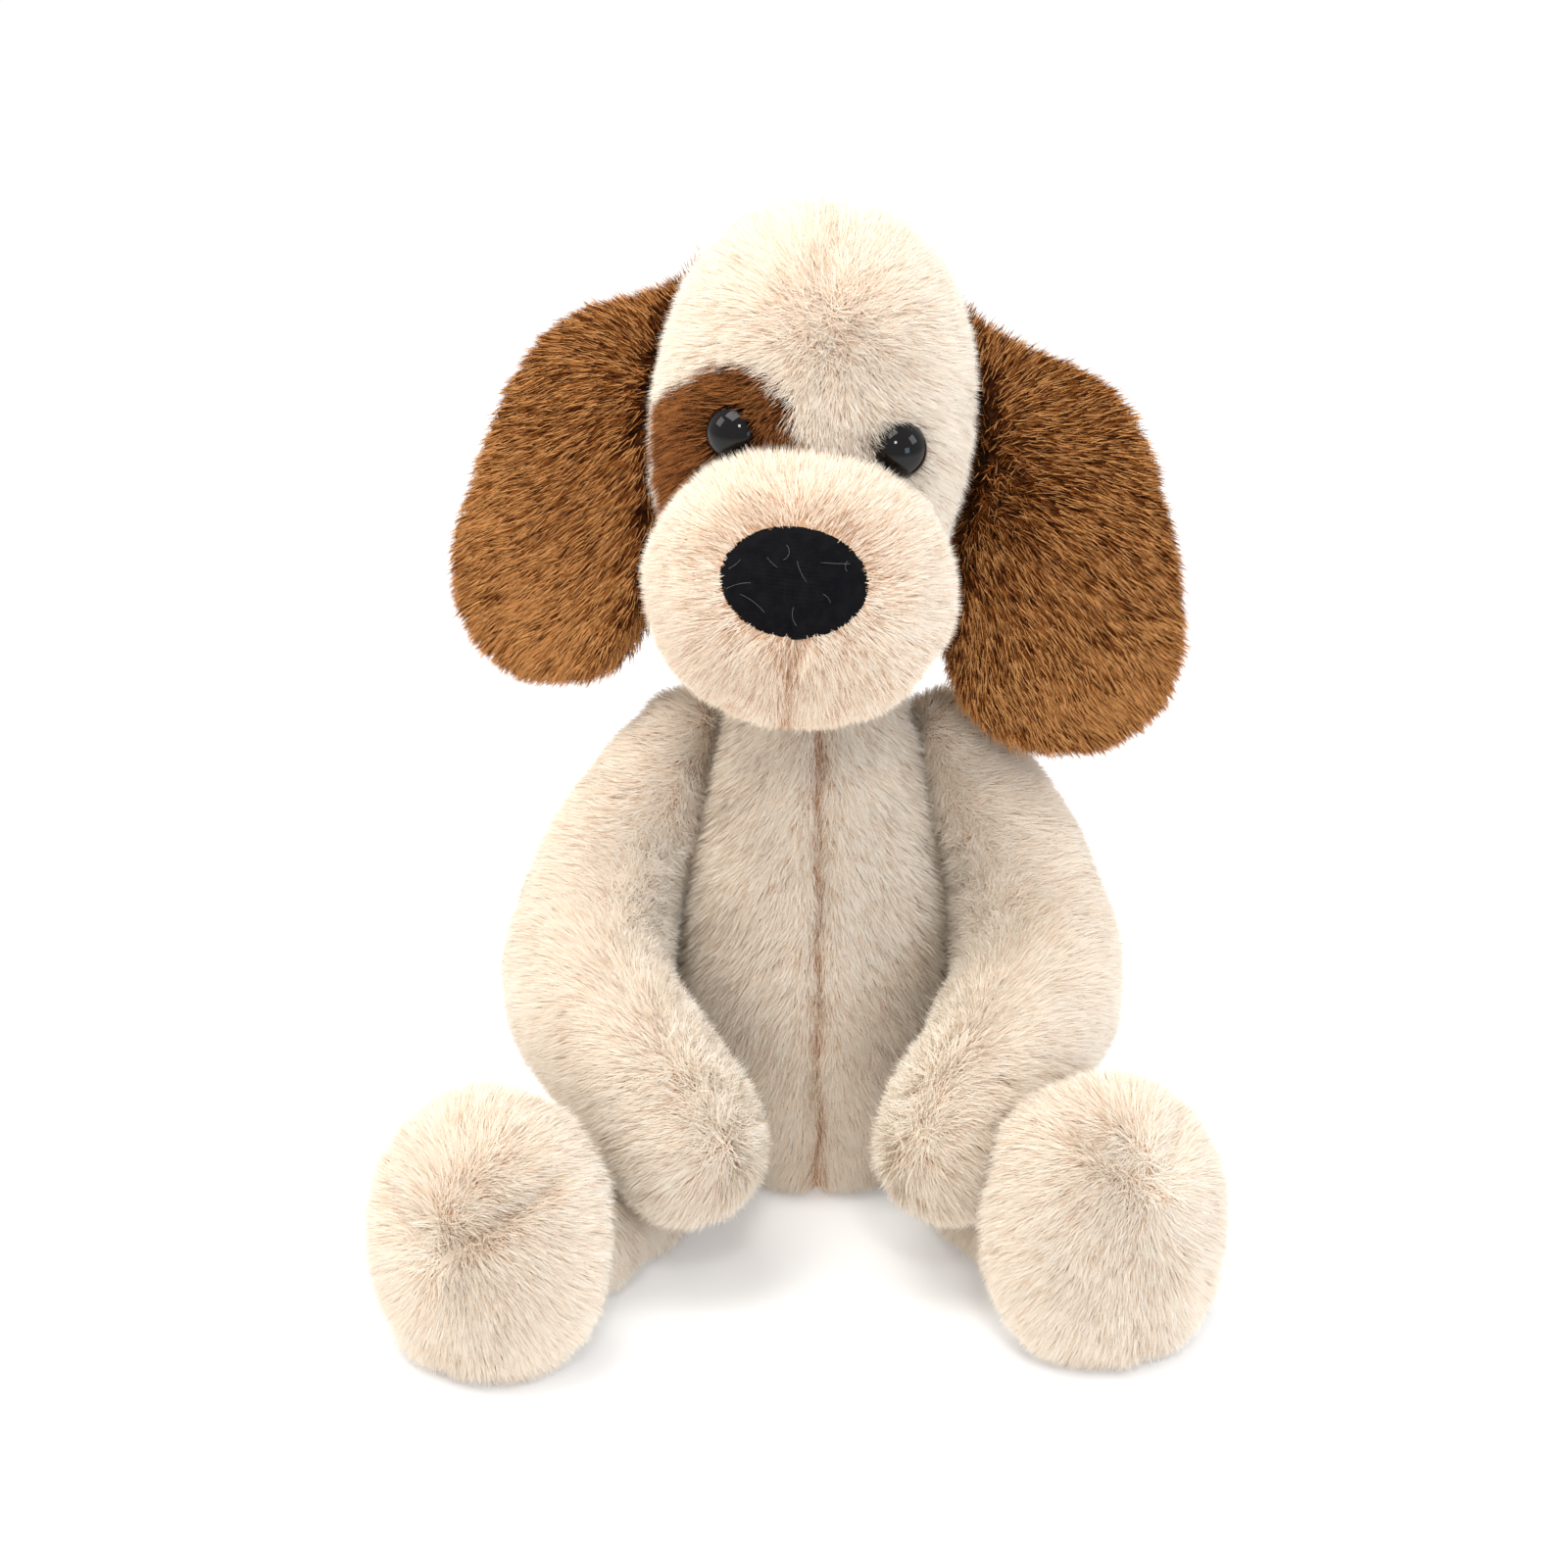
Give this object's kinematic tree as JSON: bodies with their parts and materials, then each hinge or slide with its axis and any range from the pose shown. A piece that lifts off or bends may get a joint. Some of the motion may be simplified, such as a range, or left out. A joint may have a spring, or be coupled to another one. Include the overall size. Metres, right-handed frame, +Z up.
{
  "type": "plush dog",
  "caption": "Seated plush dog with long floppy brown ears, a brown eye patch, a round muzzle with a black cloth nose and soft jointed limbs.",
  "frame": {"origin": "centre of the flat seat that the dog sits on", "axes": "+Z up, the dog looks along -Y, its left side is +X"},
  "size_m": [0.2108, 0.2222, 0.2667],
  "materials": {
    "cream_plush": "long soft cream pile",
    "brown_plush": "soft golden brown pile",
    "dark_brown_plush": "soft dark brown pile",
    "black_knit": "matte knitted cloth",
    "eye_plastic": "polished black",
    "washer_plastic": "moulded white",
    "stuffing": "loose white fibre",
    "wadding": "thin fibre sheet",
    "pellets": "cloth bag of pellets"
  },
  "bodies": {
    "torso": {"back_panel_left": "cream_plush", "back_panel_right": "cream_plush", "belly_panel_left": "cream_plush", "belly_panel_right": "cream_plush", "pellet_bag": "pellets", "seat_panel": "cream_plush", "torso_stuffing": "stuffing"},
    "neck": {"neck_stuffing": "stuffing"},
    "head": {"eye_left": "eye_plastic", "eye_patch": "dark_brown_plush", "eye_right": "eye_plastic", "eye_washer_left": "washer_plastic", "eye_washer_right": "washer_plastic", "face_panel_left": "cream_plush", "face_panel_right": "cream_plush", "head_back_left": "cream_plush", "head_back_right": "cream_plush", "head_stuffing": "stuffing", "muzzle_left": "cream_plush", "muzzle_right": "cream_plush", "muzzle_stuffing": "stuffing", "nose": "black_knit"},
    "ear_left": {"ear_back_left": "brown_plush", "ear_front_left": "brown_plush", "ear_wadding_left": "wadding"},
    "ear_right": {"ear_back_right": "brown_plush", "ear_front_right": "brown_plush", "ear_wadding_right": "wadding"},
    "arm_left": {"arm_skin_left": "cream_plush", "arm_stuffing_left": "stuffing"},
    "arm_right": {"arm_skin_right": "cream_plush", "arm_stuffing_right": "stuffing"},
    "leg_left": {"foot_pellets_left": "pellets", "foot_skin_left": "cream_plush", "foot_stuffing_left": "stuffing", "leg_skin_left": "cream_plush", "leg_stuffing_left": "stuffing"},
    "leg_right": {"foot_pellets_right": "pellets", "foot_skin_right": "cream_plush", "foot_stuffing_right": "stuffing", "leg_skin_right": "cream_plush", "leg_stuffing_right": "stuffing"},
    "tail": {"tail_skin": "cream_plush", "tail_stuffing": "stuffing"}
  },
  "joints": [
    {"name": "neck_turn", "type": "hinge", "parent": "torso", "child": "neck", "pos_m": [0, 0, 0.1486], "axis": [0, 0, 1], "range_deg": [-15, 15]},
    {"name": "head_nod", "type": "hinge", "parent": "neck", "child": "head", "pos_m": [0, 0, 0.157], "axis": [-1, 0, 0], "range_deg": [-8, 10]},
    {"name": "ear_left_flap", "type": "hinge", "parent": "head", "child": "ear_left", "pos_m": [0.03527, 0.01903, 0.23989], "axis": [0.0694, -0.9609, 0.268], "range_deg": [0, 45]},
    {"name": "ear_right_flap", "type": "hinge", "parent": "head", "child": "ear_right", "pos_m": [-0.02891, 0.02571, 0.24866], "axis": [0.4973, 0.8181, -0.2889], "range_deg": [0, 45]},
    {"name": "arm_left_swing", "type": "hinge", "parent": "torso", "child": "arm_left", "pos_m": [0.0365, 0.01, 0.121], "axis": [-1, 0, 0], "range_deg": [0, 30]},
    {"name": "arm_right_swing", "type": "hinge", "parent": "torso", "child": "arm_right", "pos_m": [-0.0365, 0.01, 0.121], "axis": [-1, 0, 0], "range_deg": [0, 30]},
    {"name": "leg_left_splay", "type": "hinge", "parent": "torso", "child": "leg_left", "pos_m": [0.041, -0.0405, 0.0178], "axis": [0, 0, 1], "range_deg": [0, 20]},
    {"name": "leg_right_splay", "type": "hinge", "parent": "torso", "child": "leg_right", "pos_m": [-0.041, -0.0405, 0.0178], "axis": [0, 0, -1], "range_deg": [0, 20]},
    {"name": "tail_wag", "type": "hinge", "parent": "torso", "child": "tail", "pos_m": [0, 0.045, 0.02], "axis": [0, 0, 1], "range_deg": [-20, 20]}
  ]
}
